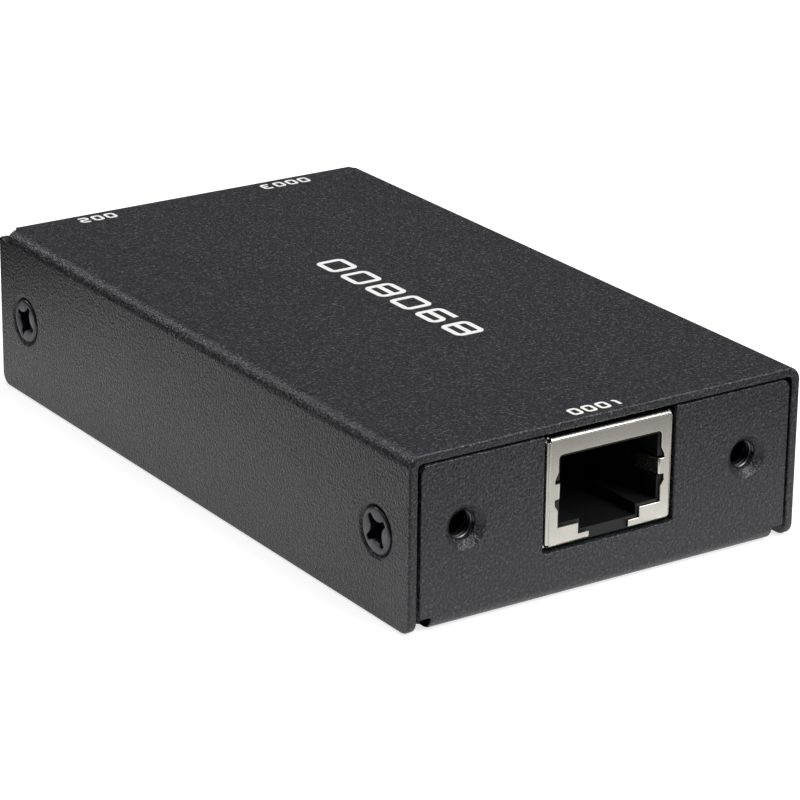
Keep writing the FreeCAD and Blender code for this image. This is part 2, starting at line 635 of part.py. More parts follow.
def make_jack_shell():
    """The jack's folded shield: a can that is open below, with a face that is split at the bottom."""
    body = new_body("network_jack_shell")
    plan = new_sketch(body, "ShieldPlan", "XY_Plane", "board_top")
    block(plan, "-jack_width / 2", "jack_width / 2", "-half_length", "jack_back")
    grow(body, "Pad", plan, "jack_height")
    round_off(body, "shield_bend", lambda e: near(-middle(e).y, "half_length")
              or (near(middle(e).z, "jack_top") and along(e, V(0, 1, 0))))
    hollow = new_sketch(body, "ShieldInside", "XY_Plane", "board_top")
    block(hollow, "shield_sheet - jack_width / 2", "jack_width / 2 - shield_sheet",
          "shield_sheet - half_length", "jack_back - shield_sheet")
    grow(body, "Pocket", hollow, "jack_height - shield_sheet", reverse=True)

    corners = new_sketch(body, "FoldSlots", "XZ_Plane", "half_length")
    for side in ("", "-"):
        outer = side + "jack_width / 2"
        inner = side + "(jack_width / 2 - shield_bend)"
        block(corners, inner, outer, "jack_top - shield_bend", "jack_top")
        block(corners, inner, outer, "board_top", "board_top + fold_slot")
    grow(body, "Pocket", corners, "shield_bend")

    window = new_sketch(body, "PlugWindow", "XZ_Plane", "half_length")
    right = [
        ("slot_width / 2", "board_top"), ("slot_width / 2", "latch_bottom"),
        ("latch_width / 2", "latch_bottom"), ("latch_width / 2", "plug_bottom"),
        ("plug_width / 2", "plug_bottom"), ("plug_width / 2", "spring_low - 3 * spring_notch"),
        ("plug_width / 2 + spring_notch", "spring_low - 1.5 * spring_notch"),
        ("plug_width / 2 + spring_notch", "spring_low"), ("plug_width / 2", "spring_low"),
        ("plug_width / 2", "spring_high"), ("plug_width / 2 + spring_notch", "spring_high"),
        ("plug_width / 2 + spring_notch", "spring_high + spring_notch"),
        ("plug_width / 2", "spring_high + 3 * spring_notch"),
        ("plug_width / 2", "plug_top - spring_notch"),
        ("plug_width / 2 - 0.3 * spring_notch", "plug_top - 0.3 * spring_notch"),
        ("plug_width / 2 - spring_notch", "plug_top"),
    ]
    left = [("-(" + across + ")", up) for across, up in reversed(right)]
    outline(window, right + left)
    grow(body, "Pocket", window, "shield_sheet")

    fingers = new_sketch(body, "SpringFingers", "XY_Plane", "spring_low")
    for side in ("", "-"):
        inner = side + "(plug_width / 2 - spring_reach)"
        outer = side + "(plug_width / 2 - spring_reach + shield_sheet)"
        wall = side + "(plug_width / 2)"
        root = side + "(plug_width / 2 + shield_sheet)"
        outline(fingers, [
            (root, "-half_length"), (wall, "-half_length"),
            (side + "(plug_width / 2 - shield_sheet)", "0.5 * shield_sheet - half_length"),
            (inner, "spring_length - shield_sheet - half_length"),
            (inner, "spring_length + shield_sheet - half_length"),
            (side + "(plug_width / 2 - shield_sheet)",
             "spring_length + spring_return - half_length"),
            (wall, "spring_length + spring_return - half_length"),
            (outer, "spring_length + shield_sheet - half_length"),
            (outer, "spring_length - shield_sheet - half_length"),
            (wall, "shield_sheet - half_length"), (root, "shield_sheet - half_length"),
        ])
    grow(body, "Pad", fingers, "spring_height")
    add_legs(body, "jack", "2 * fold_slot")
    return body


def make_jack_housing():
    """The jack's plastic, with the stepped plug cavity and room for the two side fingers."""
    body = new_body("network_jack_housing")
    plan = new_sketch(body, "HousingPlan", "XY_Plane", "board_top")
    block(plan, "shield_sheet + insert_gap - jack_width / 2",
          "jack_width / 2 - shield_sheet - insert_gap",
          "shield_sheet + insert_gap - half_length", "jack_back - shield_sheet - insert_gap")
    grow(body, "Pad", plan, "jack_height - shield_sheet - insert_gap")
    cavity = new_sketch(body, "PlugCavity", "XZ_Plane", "half_length")
    right = [
        ("latch_width / 2 - cavity_inset", "latch_bottom + cavity_inset"),
        ("latch_width / 2 - cavity_inset", "plug_bottom + cavity_inset"),
        ("plug_width / 2 - cavity_inset", "plug_bottom + cavity_inset"),
        ("plug_width / 2 - cavity_inset", "plug_top - cavity_inset"),
    ]
    outline(cavity, right + [("-(" + across + ")", up) for across, up in reversed(right)])
    grow(body, "Pocket", cavity, "cavity_depth")
    pockets = new_sketch(body, "FingerPockets", "XZ_Plane", "half_length")
    for side in ("", "-"):
        block(pockets, side + "(plug_width / 2 - spring_reach)",
              side + "(plug_width / 2 + shield_sheet + spring_pocket)",
              "spring_low - spring_pocket", "spring_high + spring_pocket")
    grow(body, "Pocket", pockets, "spring_length + spring_return + spring_pocket")
    return body


def make_jack_contacts():
    """Eight spring contacts that slope from the cavity's roof down to its back wall."""
    body = new_body("network_jack_contacts")
    body.AllowCompound = True
    side = new_sketch(body, "ContactSide", "YZ_Plane", "(1 - contact_count) / 2 * contact_pitch")
    front = "contact_front - half_length"
    back = "cavity_depth - half_length"
    roof = "plug_top - cavity_inset"
    outline(side, [
        (front, roof), (front, roof + " - contact_wire"),
        (front + " + contact_wire", roof + " - 2 * contact_wire"),
        (front + " + contact_run", roof + " - contact_drop"),
        (back, roof + " - contact_drop"), (back, roof + " - contact_drop + contact_wire"),
        (front + " + contact_run", roof + " - contact_drop + contact_wire"),
        (front + " + 3 * contact_wire", roof),
    ])
    wire = grow(body, "Pad", side, "contact_width", symmetric=True)
    repeat(body, wire, "X_Axis", "contact_pitch", "contact_count")
    return body


# ---- the rear ports ----

def video_outline(spread):
    """The video port's outline: a flat box with sloping lower corners."""
    half = "video_width / 2 + " + spread
    low = "board_top - (" + spread + ")"
    top = "board_top + video_height + " + spread
    return [
        ("video_x - (" + half + ")", low + " + video_slope"),
        ("video_x - (" + half + ") + video_slope", low),
        ("video_x + " + half + " - video_slope", low),
        ("video_x + " + half, low + " + video_slope"),
        ("video_x + " + half, top), ("video_x - (" + half + ")", top),
    ]


def data_outline(spread):
    """The data port's outline: an upright box with sloping upper corners."""
    half = "data_width / 2 + " + spread
    low = "board_top - (" + spread + ")"
    top = "board_top + data_height + " + spread
    return [
        ("data_x - (" + half + ")", low), ("data_x + " + half, low),
        ("data_x + " + half, top + " - data_slope"),
        ("data_x + " + half + " - data_slope", top),
        ("data_x - (" + half + ") + data_slope", top),
        ("data_x - (" + half + ")", top + " - data_slope"),
    ]


def make_video_shell():
    """The video port's folded shield, open at both ends."""
    body = new_body("video_port_shell")
    outer = new_sketch(body, "ShieldOutline", "XZ_Plane", "-half_length")
    outline(outer, video_outline("0"))
    grow(body, "Pad", outer, "video_depth")
    inner = new_sketch(body, "ShieldInside", "XZ_Plane", "-half_length")
    outline(inner, video_outline("(-shield_sheet)"))
    grow(body, "Pocket", inner, "video_depth", reverse=True)
    springs = new_sketch(body, "SpringFingers", "YZ_Plane", "video_x - video_spring_inset")
    face = "half_length - video_mouth"
    for wall, inwards in (("board_top + video_height - shield_sheet", " - "),
                          ("board_top + shield_sheet", " + ")):
        drop = wall + inwards + "video_spring_drop"
        outline(springs, [
            (face, wall), (face + " - video_spring_run / 2", drop),
            (face + " - video_spring_run / 2 - shield_sheet", drop),
            (face + " - video_spring_run", wall),
        ])
    pressed = grow(body, "Pad", springs, "video_spring_width", symmetric=True)
    repeat(body, pressed, "X_Axis", "2 * video_spring_inset", "2")
    add_legs(body, "video", "2 * video_slope")
    return body


def make_video_insert():
    """The video port's plastic: a plug at the back and a flat tongue."""
    body = new_body("video_port_insert")
    rear = new_sketch(body, "PlugOutline", "XZ_Plane", "video_depth - half_length")
    outline(rear, video_outline("(-shield_sheet - insert_gap)"))
    grow(body, "Pad", rear, "video_depth - video_tongue_length - video_mouth", reverse=True)
    tongue = new_sketch(body, "Tongue", "XZ_Plane", "video_mouth - half_length")
    block(tongue, "video_x - video_tongue_width / 2", "video_x + video_tongue_width / 2",
          "video_middle - video_tongue_sheet / 2", "video_middle + video_tongue_sheet / 2")
    grow(body, "Pad", tongue, "video_tongue_length")
    return body


def make_video_contacts():
    """Rows of contact strips over and below the tongue."""
    body = new_body("video_port_contacts")
    body.AllowCompound = True
    for count, edge, far in (
            ("video_upper_count", "video_middle + video_tongue_sheet / 2", " + strip_sheet"),
            ("video_lower_count", "video_middle - video_tongue_sheet / 2", " - strip_sheet")):
        strips = new_sketch(body, "Strip", "XZ_Plane", "2 * video_mouth - half_length")
        first = "video_x - (%s - 1) / 2 * video_pitch" % count
        block(strips, first + " - strip_width / 2", first + " + strip_width / 2", edge, edge + far)
        strip = grow(body, "Pad", strips, "video_tongue_length - video_mouth")
        repeat(body, strip, "X_Axis", "video_pitch", count)
    return body


def make_data_shell():
    """The data port's folded shield, with a smaller window in its face."""
    body = new_body("data_port_shell")
    outer = new_sketch(body, "ShieldOutline", "XZ_Plane", "-half_length")
    outline(outer, data_outline("0"))
    grow(body, "Pad", outer, "data_depth")
    inner = new_sketch(body, "ShieldInside", "XZ_Plane", "shield_sheet - half_length")
    outline(inner, data_outline("(-shield_sheet)"))
    grow(body, "Pocket", inner, "data_depth - shield_sheet", reverse=True)
    window = new_sketch(body, "PlugWindow", "XZ_Plane", "-half_length")
    outline(window, data_window("0"))
    grow(body, "Pocket", window, "shield_sheet", reverse=True)
    add_legs(body, "data", "data_slope")
    return body


def data_window(spread):
    """The opening of the data port, with the same sloping upper corners."""
    half = "data_opening_width / 2 - " + spread
    high = "data_middle + data_opening_height / 2 - " + spread
    return [
        ("data_x - (" + half + ")", "data_middle - data_opening_height / 2 + " + spread),
        ("data_x + " + half, "data_middle - data_opening_height / 2 + " + spread),
        ("data_x + " + half, high + " - data_slope"),
        ("data_x + " + half + " - data_slope", high),
        ("data_x - (" + half + ") + data_slope", high),
        ("data_x - (" + half + ")", high + " - data_slope"),
    ]


def make_data_insert():
    """The data port's plastic, with its square cavity and the block inside it."""
    body = new_body("data_port_insert")
    outer = new_sketch(body, "InsertOutline", "XZ_Plane", "shield_sheet + insert_gap - half_length")
    outline(outer, data_outline("(-shield_sheet - insert_gap)"))
    grow(body, "Pad", outer, "data_depth - shield_sheet - insert_gap")
    cavity = new_sketch(body, "Cavity", "XZ_Plane", "shield_sheet + insert_gap - half_length")
    outline(cavity, data_window("insert_gap"))
    grow(body, "Pocket", cavity, "data_cavity - shield_sheet - insert_gap", reverse=True)
    tongue = new_sketch(body, "Block", "XZ_Plane", "data_cavity - half_length")
    block(tongue, "data_x - data_tongue_width / 2", "data_x + data_tongue_width / 2",
          "data_middle - data_tongue_height / 2", "data_middle + data_tongue_height / 2")
    grow(body, "Pad", tongue, "data_cavity - data_mouth", reverse=True)
    return body


def make_data_contacts():
    """Two contact strips over the data port's inner block and two below it."""
    body = new_body("data_port_contacts")
    body.AllowCompound = True
    strips = new_sketch(body, "Strips", "XZ_Plane", "data_mouth + video_mouth - half_length")
    for side in ("-", "+"):
        for low, high in (
                ("data_middle + data_tongue_height / 2",
                 "data_middle + data_tongue_height / 2 + strip_sheet"),
                ("data_middle - data_tongue_height / 2 - strip_sheet",
                 "data_middle - data_tongue_height / 2")):
            place = "data_x " + side + " strip_wide"
            block(strips, place + " - strip_wide / 2", place + " + strip_wide / 2", low, high)
    grow(body, "Pad", strips, "data_cavity - data_mouth - 2 * video_mouth")
    return body


# ---- the parts on the board ----

def make_chip(node, across, along_y, width, length, height, side_leads=0, end_leads=0):
    """A chip with flat leads: so many on each side, and so many on each end."""
    body = new_body(node)
    plan = new_sketch(body, "ChipPlan", "XY_Plane", "board_top")
    block(plan, across + " - " + width + " / 2", across + " + " + width + " / 2",
          along_y + " - " + length + " / 2", along_y + " + " + length + " / 2")
    grow(body, "Pad", plan, height)
    if side_leads:
        leads = new_sketch(body, "SideLeads", "XY_Plane", "board_top")
        first = "%s - %d / 2 * lead_pitch" % (along_y, side_leads - 1)
        for side in ("+", "-"):
            edge = across + " " + side + " " + width + " / 2"
            block(leads, edge, edge + " " + side + " lead_length",
                  first + " - lead_pitch / 4", first + " + lead_pitch / 4")
        pair = grow(body, "Pad", leads, "lead_sheet")
        repeat(body, pair, "Y_Axis", "lead_pitch", str(side_leads))
    if end_leads:
        leads = new_sketch(body, "EndLeads", "XY_Plane", "board_top")
        first = "%s - %d / 2 * lead_pitch" % (across, end_leads - 1)
        for side in ("+", "-"):
            edge = along_y + " " + side + " " + length + " / 2"
            block(leads, first + " - lead_pitch / 4", first + " + lead_pitch / 4",
                  edge, edge + " " + side + " lead_length")
        pair = grow(body, "Pad", leads, "lead_sheet")
        repeat(body, pair, "X_Axis", "lead_pitch", str(end_leads))
    return body


def add_lid(body, along_y):
    """The metal lid of a leadless chip."""
    lid = new_sketch(body, "Lid", "XY_Plane", "board_top + encoder_height")
    half = "(encoder_side / 2 - lid_margin)"
    block(lid, "-" + half, half, along_y + " - " + half, along_y + " + " + half)
    grow(body, "Pad", lid, "encoder_lid")


def make_capacitors():
    """Two aluminium capacitor cans on square bases, side by side."""
    body = new_body("filter_capacitors")
    body.AllowCompound = True
    places = [side + "(capacitor_size + part_gap) / 2" for side in ("-", "")]
    bases = new_sketch(body, "Bases", "XY_Plane", "board_top")
    for place in places:
        block(bases, place + " - capacitor_size / 2", place + " + capacitor_size / 2",
              "capacitor_y - capacitor_size / 2", "capacitor_y + capacitor_size / 2")
    grow(body, "Pad", bases, "capacitor_base")
    cans = new_sketch(body, "Cans", "XY_Plane", "board_top + capacitor_base")
    for place in places:
        circle(cans, place, "capacitor_y", "capacitor_size - lead_sheet")
    grow(body, "Pad", cans, "capacitor_height - capacitor_base")
    return body


def make_chip_parts():
    """Rows of chip resistors and capacitors on the board."""
    body = new_body("chip_parts")
    body.AllowCompound = True
    plan = new_sketch(body, "CrossRow", "XY_Plane", "board_top")
    first = "(1 - chip_part_count) / 2 * chip_part_pitch"
    block(plan, first + " - chip_part / 4", first + " + chip_part / 4",
          "chip_row_y - chip_part / 2", "chip_row_y + chip_part / 2")
    chip = grow(body, "Pad", plan, "chip_part / 2")
    repeat(body, chip, "X_Axis", "chip_part_pitch", "chip_part_count")
    plan = new_sketch(body, "SideRows", "XY_Plane", "board_top")
    first = "part_gap - board_half_length"
    for side in ("-", ""):
        across = side + "(jack_width / 2 + part_gap)"
        block(plan, across + " - chip_part / 2", across + " + chip_part / 2",
              first + " - chip_part / 4", first + " + chip_part / 4")
    pair = grow(body, "Pad", plan, "chip_part / 2")
    repeat(body, pair, "Y_Axis", "chip_part_pitch", "chip_part_count")
    return body


# ---- everything, in the order it is put together ----

SIDES = (("left", -1), ("right", 1))
ENDS = (("front", -1), ("rear", 1))

# How far each cover screw was turned when it came tight, in degrees.
SCREW_TURNS = {("front", "left"): 39.0, ("front", "right"): 12.0,
               ("rear", "left"): 65.0, ("rear", "right"): 77.0}

make_base_tray()
for end, y_side in ENDS:
    for side, x_side in SIDES:
        make_standoff("board_standoff_%s_%s" % (end, side), x_side, y_side)
make_main_board()
for end, y_side in ENDS:
    for side, x_side in SIDES:
        make_board_screw("board_screw_%s_%s" % (end, side), x_side, y_side)
make_jack_shell()
make_jack_housing()
make_jack_contacts()
make_video_shell()
make_video_insert()
make_video_contacts()
make_data_shell()
make_data_insert()
make_data_contacts()
make_chip("network_transformer", "0", "transformer_y", "transformer_width", "transformer_length",
          "transformer_height", side_leads=7)
video_chip = make_chip("video_chip", "0", "encoder_y", "encoder_side", "encoder_side",
                       "encoder_height")
add_lid(video_chip, "encoder_y")
make_chip("network_chip", "-side_row_x", "encoder_y", "controller_side", "controller_side",
          "chip_height", side_leads=6, end_leads=6)
make_chip("memory_chip", "side_row_x", "encoder_y", "memory_width", "memory_length",
          "chip_height", side_leads=8)
make_chip("crystal", "-side_row_x", "crystal_y", "crystal_length", "crystal_width",
          "chip_height")
make_chip("voltage_regulator", "-side_row_x", "supply_y", "regulator_width", "regulator_length",
          "regulator_height", end_leads=3)
make_chip("power_inductor", "side_row_x", "supply_y", "coil_side", "coil_side", "coil_height")
make_capacitors()
make_chip_parts()
make_top_cover()
for end, y_side in ENDS:
    for side, x_side in SIDES:
        make_cover_screw("cover_screw_%s_%s" % (end, side), x_side, y_side,
                         SCREW_TURNS[(end, side)])

doc.recompute()
for item in doc.Objects:
    if "Invalid" in item.State or "Error" in item.State:
        raise RuntimeError("%s is not built: %s" % (item.Label, item.State))
os.makedirs("parts", exist_ok=True)
for body in nodes:
    if body.Shape.isNull() or not body.Shape.isValid() or not body.Shape.Solids:
        raise RuntimeError(body.Label + " has no sound shape")
    body.Shape.exportStep("parts/%s.step" % body.Label)
print("%d nodes" % len(nodes))
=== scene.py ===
"""A small shielded KVM dongle in charcoal powder coat, dressed in the order it is put together."""

import json
import math

import bmesh
import bpy
from mathutils import Matrix, Vector
from mathutils.bvhtree import BVHTree


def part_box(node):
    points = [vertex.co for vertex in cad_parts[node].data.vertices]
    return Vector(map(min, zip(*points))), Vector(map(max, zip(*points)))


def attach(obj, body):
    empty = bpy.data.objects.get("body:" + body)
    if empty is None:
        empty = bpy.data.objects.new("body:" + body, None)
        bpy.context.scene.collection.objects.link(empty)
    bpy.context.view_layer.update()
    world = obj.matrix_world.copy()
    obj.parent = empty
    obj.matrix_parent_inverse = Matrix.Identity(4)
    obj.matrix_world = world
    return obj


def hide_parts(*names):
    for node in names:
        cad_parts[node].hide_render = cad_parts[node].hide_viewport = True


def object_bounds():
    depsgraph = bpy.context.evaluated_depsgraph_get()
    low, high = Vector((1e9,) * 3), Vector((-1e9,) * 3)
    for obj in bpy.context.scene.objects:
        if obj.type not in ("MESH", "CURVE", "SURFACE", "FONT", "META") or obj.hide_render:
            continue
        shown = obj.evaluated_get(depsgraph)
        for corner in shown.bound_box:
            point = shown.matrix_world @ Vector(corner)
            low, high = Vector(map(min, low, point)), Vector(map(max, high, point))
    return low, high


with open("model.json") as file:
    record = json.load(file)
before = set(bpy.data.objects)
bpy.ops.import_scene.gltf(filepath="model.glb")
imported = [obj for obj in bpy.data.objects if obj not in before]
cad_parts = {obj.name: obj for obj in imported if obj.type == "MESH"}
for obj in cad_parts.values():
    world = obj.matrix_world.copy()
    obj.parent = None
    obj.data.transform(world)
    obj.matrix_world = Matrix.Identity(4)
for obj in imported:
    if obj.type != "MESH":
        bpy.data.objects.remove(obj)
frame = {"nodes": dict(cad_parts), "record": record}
cad_box = [list(corner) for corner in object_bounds()]
nodes = frame["nodes"]

# ---- Base tray ----
# One folded sheet of 1 mm steel: the floor, the two end panels and the two side walls. It is
# powder-coated after folding, so every cut edge carries a soft, slightly swollen skin of paint.
TRAY_EDGE_RADIUS = 0.00014
# Mesh points this close are one, and faces bent this little are one flat. An edge bent more than
# CUT_EDGE is a cut edge and gets rounded; one bent more than SHARP_EDGE stays a crisp line.
SAME_POINT = 1e-6
SAME_PLANE = math.radians(0.5)
CUT_EDGE = math.radians(32)
SHARP_EDGE = math.radians(40)
# Share of an edge's radius by which its rounding may leave the surface that it is laid on.
ROUNDING_SLACK = 0.3


def linear(code):
    """An sRGB hex colour as the linear values that a shader socket takes."""
    parts = [int(code[i:i + 2], 16) / 255 for i in (1, 3, 5)]
    return [c / 12.92 if c <= 0.04045 else ((c + 0.055) / 1.055) ** 2.4 for c in parts] + [1]


def put(tree, kind, values=None, links=None, **settings):
    """One node of a shader or geometry tree, with its settings, input values and links."""
    made = tree.nodes.new(kind)
    for name, value in settings.items():
        setattr(made, name, value)
    for name, value in (values or {}).items():
        made.inputs[name].default_value = value
    for name, source in (links or {}).items():
        tree.links.new(source, made.inputs[name])
    return made


def blank_material(name):
    """An empty material, its tree and the Object coordinates that its patterns are laid on."""
    material = bpy.data.materials.new(name)
    material.use_nodes = True
    tree = material.node_tree
    tree.nodes.clear()
    place = put(tree, "ShaderNodeTexCoord").outputs["Object"]
    return material, tree, place


def shades(tree, factor, *stops):
    """A colour ramp over a factor, given as pairs of position and sRGB colour."""
    ramp = put(tree, "ShaderNodeValToRGB", links={"Fac": factor})
    while len(ramp.color_ramp.elements) < len(stops):
        ramp.color_ramp.elements.new(1.0)
    for element, (position, colour) in zip(ramp.color_ramp.elements, stops):
        element.position = position
        element.color = linear(colour)
    return ramp.outputs["Color"]


def softened(node, radius, name, shaping=None):
    """A copy of a CAD node, given a finer form first if it has one, with its cut edges rounded as
    paint, plating or tumbling leaves them."""
    piece = nodes[node].copy()
    piece.data = nodes[node].data.copy()
    piece.parent = None
    for key in [key for key in piece.keys() if key.startswith("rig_")]:
        del piece[key]
    bpy.context.scene.collection.objects.link(piece)
    shape = bmesh.new()
    shape.from_mesh(piece.data)
    bmesh.ops.remove_doubles(shape, verts=shape.verts, dist=SAME_POINT)
    bmesh.ops.dissolve_limit(shape, angle_limit=SAME_PLANE, verts=shape.verts, edges=shape.edges)
    if shaping:
        shaping(shape)
    surface = BVHTree.FromBMesh(shape)
    shape.to_mesh(piece.data)
    shape.free()
    rounding = piece.modifiers.new("Rounding", "BEVEL")
    rounding.width = radius
    rounding.segments = 2
    rounding.limit_method = "ANGLE"
    rounding.angle_limit = CUT_EDGE
    rounding.miter_outer = "MITER_ARC"
    rounding.use_clamp_overlap = False
    rounded = plain(piece, name)
    draw_back(rounded, surface, ROUNDING_SLACK * radius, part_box(node))
    return finished(rounded, name)


def draw_back(piece, surface, slack, box):
    """Bring back the corners that a rounding throws out where edges lie closer than it is wide:
    onto the surface if they left it by more than the slack, and always into the node's box."""
    for vert in piece.data.vertices:
        spot, _, _, distance = surface.find_nearest(vert.co)
        kept = spot if distance > slack else vert.co
        vert.co = [min(max(value, least), most) for value, least, most in zip(kept, *box)]


def finished(piece, name):
    """The piece as a plain mesh at the origin, its flats kept flat and small faces bent between."""
    made = plain(piece, name)
    made.data.shade_smooth()
    made.data.set_sharp_from_angle(angle=SHARP_EDGE)
    flats = made.modifiers.new("Flats", "WEIGHTED_NORMAL")
    flats.weight = 100
    flats.keep_sharp = True
    return plain(made, name)


def plain(piece, name):
    """What a piece's modifiers make of it, as a plain mesh in its place."""
    bpy.context.view_layer.update()
    done = bpy.data.meshes.new_from_object(piece.evaluated_get(
        bpy.context.evaluated_depsgraph_get()))
    bpy.data.objects.remove(piece)
    made = bpy.data.objects.new(name, done)
    bpy.context.scene.collection.objects.link(made)
    return made


def coat(piece, material):
    """Give a piece or a CAD node one material all over."""
    piece.data.materials.clear()
    piece.data.materials.append(material)


def stand_for(piece, slot, *names):
    """Let a finished piece ride on the part's one body in place of the named CAD nodes."""
    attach(piece, "root")
    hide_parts(*names)


# Fine-texture polyester powder coat, sprayed and baked: the melted powder stands in hard little
# grains, which break the light on an almost black skin into grey sparkle. The skin's colour is also
# flecked paler on the grains: partly the coat's own mottle, partly painted sparkle beside the
# grains' relief. The real grains are about 0.15 mm apart and too fine to show, so they are drawn
# 0.3 mm apart.
POWDER_GRAIN = 0.0003
GRAIN_HEIGHT = 0.00015
GLOSS_DRIFT = 0.0111
powder_coat, tree, place = blank_material("fine_texture_powder_coat")
grain = put(tree, "ShaderNodeTexNoise", {"Scale": 1 / POWDER_GRAIN, "Detail": 2, "Roughness": 0.6,
                                         "Distortion": 0.4}, {"Vector": place}).outputs["Fac"]
drift = put(tree, "ShaderNodeTexNoise", {"Scale": 1 / GLOSS_DRIFT, "Detail": 2}, {"Vector": place})
# Paler flecks on the grains: the coat's mottle together with a painted highlight, the sparkle drawn
# into the colour.
mottle_and_painted_sparkle = shades(tree, grain, (0.42, "#272729"), (0.53, "#313135"), (0.63, "#414147"),
              (0.71, "#595962"))
gloss = put(tree, "ShaderNodeMapRange",
            {"From Min": 0.3, "From Max": 0.7, "To Min": 0.22, "To Max": 0.27},
            {"Value": drift.outputs["Fac"]})
relief = put(tree, "ShaderNodeBump", {"Strength": 1.0, "Distance": GRAIN_HEIGHT},
             {"Height": grain})
shader = put(tree, "ShaderNodeBsdfPrincipled", {"IOR": 1.5},
             {"Base Color": mottle_and_painted_sparkle, "Roughness": gloss.outputs["Result"],
              "Normal": relief.outputs["Normal"]})
put(tree, "ShaderNodeOutputMaterial", links={"Surface": shader.outputs["BSDF"]})

# The two holes in the front panel are drawn inwards by a punch, which rolls their mouths into
# dimples. In the solid each mouth has two plain bands, not quite as deep as MOUTH_ZONE; here they
# are cut into finer rings that follow the roll.
MOUTH_ZONE = 0.00045
MOUTH_DEPTH = 0.0007
MOUTH_ROLL = 1.15
MOUTH_RINGS = 4
SAME_REACH = 0.0001
holes = [mount for mount in frame["record"]["mounts"] if mount["name"] == "front_screw_holes"][0]
HOLE_RADIUS = holes["dims"]["hole_r_mm"] / 1000
HOLE_SPACING = holes["dims"]["spacing_x_mm"] / 1000


def drawn_mouths(shape):
    """Give each hole's mouth its rolled form: shallow at the panel's face, steep at the bore."""
    face = holes["pos_m"][1]
    for side in (-1, 1):
        axis = Vector((side * HOLE_SPACING / 2, holes["pos_m"][2]))

        def reach(vert):
            return (Vector((vert.co.x, vert.co.z)) - axis).length

        def in_mouth(vert):
            return vert.co.y < face + MOUTH_ZONE and reach(vert) < 2 * HOLE_RADIUS

        # The mouth's edges that run towards the bore, and not round it, are cut up.
        rim = max(reach(vert) for vert in shape.verts if in_mouth(vert))
        radial = [edge for edge in shape.edges if all(in_mouth(vert) for vert in edge.verts)
                  and abs(reach(edge.verts[0]) - reach(edge.verts[1])) > SAME_REACH]
        bmesh.ops.subdivide_edges(shape, edges=radial, cuts=MOUTH_RINGS, use_grid_fill=True)
        for vert in shape.verts:
            if in_mouth(vert):
                inwards = min(1, max(0, (rim - reach(vert)) / (rim - HOLE_RADIUS)))
                vert.co.y = face + MOUTH_DEPTH * inwards ** MOUTH_ROLL


tray = softened("base_tray", TRAY_EDGE_RADIUS, "tray_painted", drawn_mouths)
coat(tray, powder_coat)
stand_for(tray, "powder_coated_steel", "base_tray")

# ---- Threads of the front holes ----
# The two drawn holes beside the jack are tapped M3 after coating, so that cut steel threads show
# in them. Each thread is one helical ridge along the collar's bore.
THREAD_PITCH = 0.0005
# From the panel's face to the first turn, and on to the last.
THREAD_START = 0.0009
THREAD_LENGTH = 3 * THREAD_PITCH
THREAD_RIDGE = 0.00014
# Width of the clouds that handling leaves on a metal, and how deep its scratches look.
METAL_CLOUD = 0.003846
SCRATCH_DEPTH = 0.000006


def growth(name, sockets):
    """A geometry tree with named inputs, and the outputs of its input node by name."""
    tree = bpy.data.node_groups.new(name, "GeometryNodeTree")
    tree.interface.new_socket("Geometry", in_out="INPUT", socket_type="NodeSocketGeometry")
    for label, kind in sockets.items():
        tree.interface.new_socket(label, in_out="INPUT", socket_type="NodeSocket" + kind)
    tree.interface.new_socket("Geometry", in_out="OUTPUT", socket_type="NodeSocketGeometry")
    return tree, put(tree, "NodeGroupInput").outputs


def close_growth(tree, geometry, *finishes):
    """End a geometry tree: instances made real and each finish set, with the faces it is for."""
    made = put(tree, "GeometryNodeRealizeInstances", links={"Geometry": geometry})
    for finish in finishes:
        made = put(tree, "GeometryNodeSetMaterial",
                   links={"Geometry": made.outputs["Geometry"], **finish})
    put(tree, "NodeGroupOutput", links={"Geometry": made.outputs["Geometry"]})


def grown(name, seed, tree, values):
    """Run a geometry tree on a seed mesh or curve, and keep the result as a plain mesh."""
    piece = bpy.data.objects.new(name + "_seed", seed)
    modifier = piece.modifiers.new("Growth", "NODES")
    modifier.node_group = tree
    for item in tree.interface.items_tree:
        if item.in_out == "INPUT" and item.name in values:
            modifier[item.identifier] = values[item.name]
    bpy.context.scene.collection.objects.link(piece)
    return finished(piece, name)


def seats(name, places):
    """A mesh of loose points, on which a geometry tree sets its copies."""
    mesh = bpy.data.meshes.new(name)
    mesh.from_pydata(places, [], [])
    return mesh


def metal(name, dark, light, roughness, spread, scratch):
    """Bare or plated metal, a little clouded, with scratches of the given spacing. Real ones lie
    closer and would not show."""
    material, tree, place = blank_material(name)
    wear = put(tree, "ShaderNodeTexNoise", {"Scale": 1 / scratch, "Detail": 4, "Roughness": 0.6},
               {"Vector": place}).outputs["Fac"]
    cloud = put(tree, "ShaderNodeTexNoise", {"Scale": 1 / METAL_CLOUD, "Detail": 3},
                {"Vector": place})
    colour = shades(tree, cloud.outputs["Fac"], (0.3, dark), (0.7, light))
    rough = put(tree, "ShaderNodeMapRange", {"From Min": 0.3, "From Max": 0.7,
                                             "To Min": roughness - spread,
                                             "To Max": roughness + spread}, {"Value": wear})
    relief = put(tree, "ShaderNodeBump", {"Strength": 0.25, "Distance": SCRATCH_DEPTH},
                 {"Height": wear})
    shader = put(tree, "ShaderNodeBsdfPrincipled", {"Metallic": 1.0},
                 {"Base Color": colour, "Roughness": rough.outputs["Result"],
                  "Normal": relief.outputs["Normal"]})
    put(tree, "ShaderNodeOutputMaterial", links={"Surface": shader.outputs["BSDF"]})
    return material


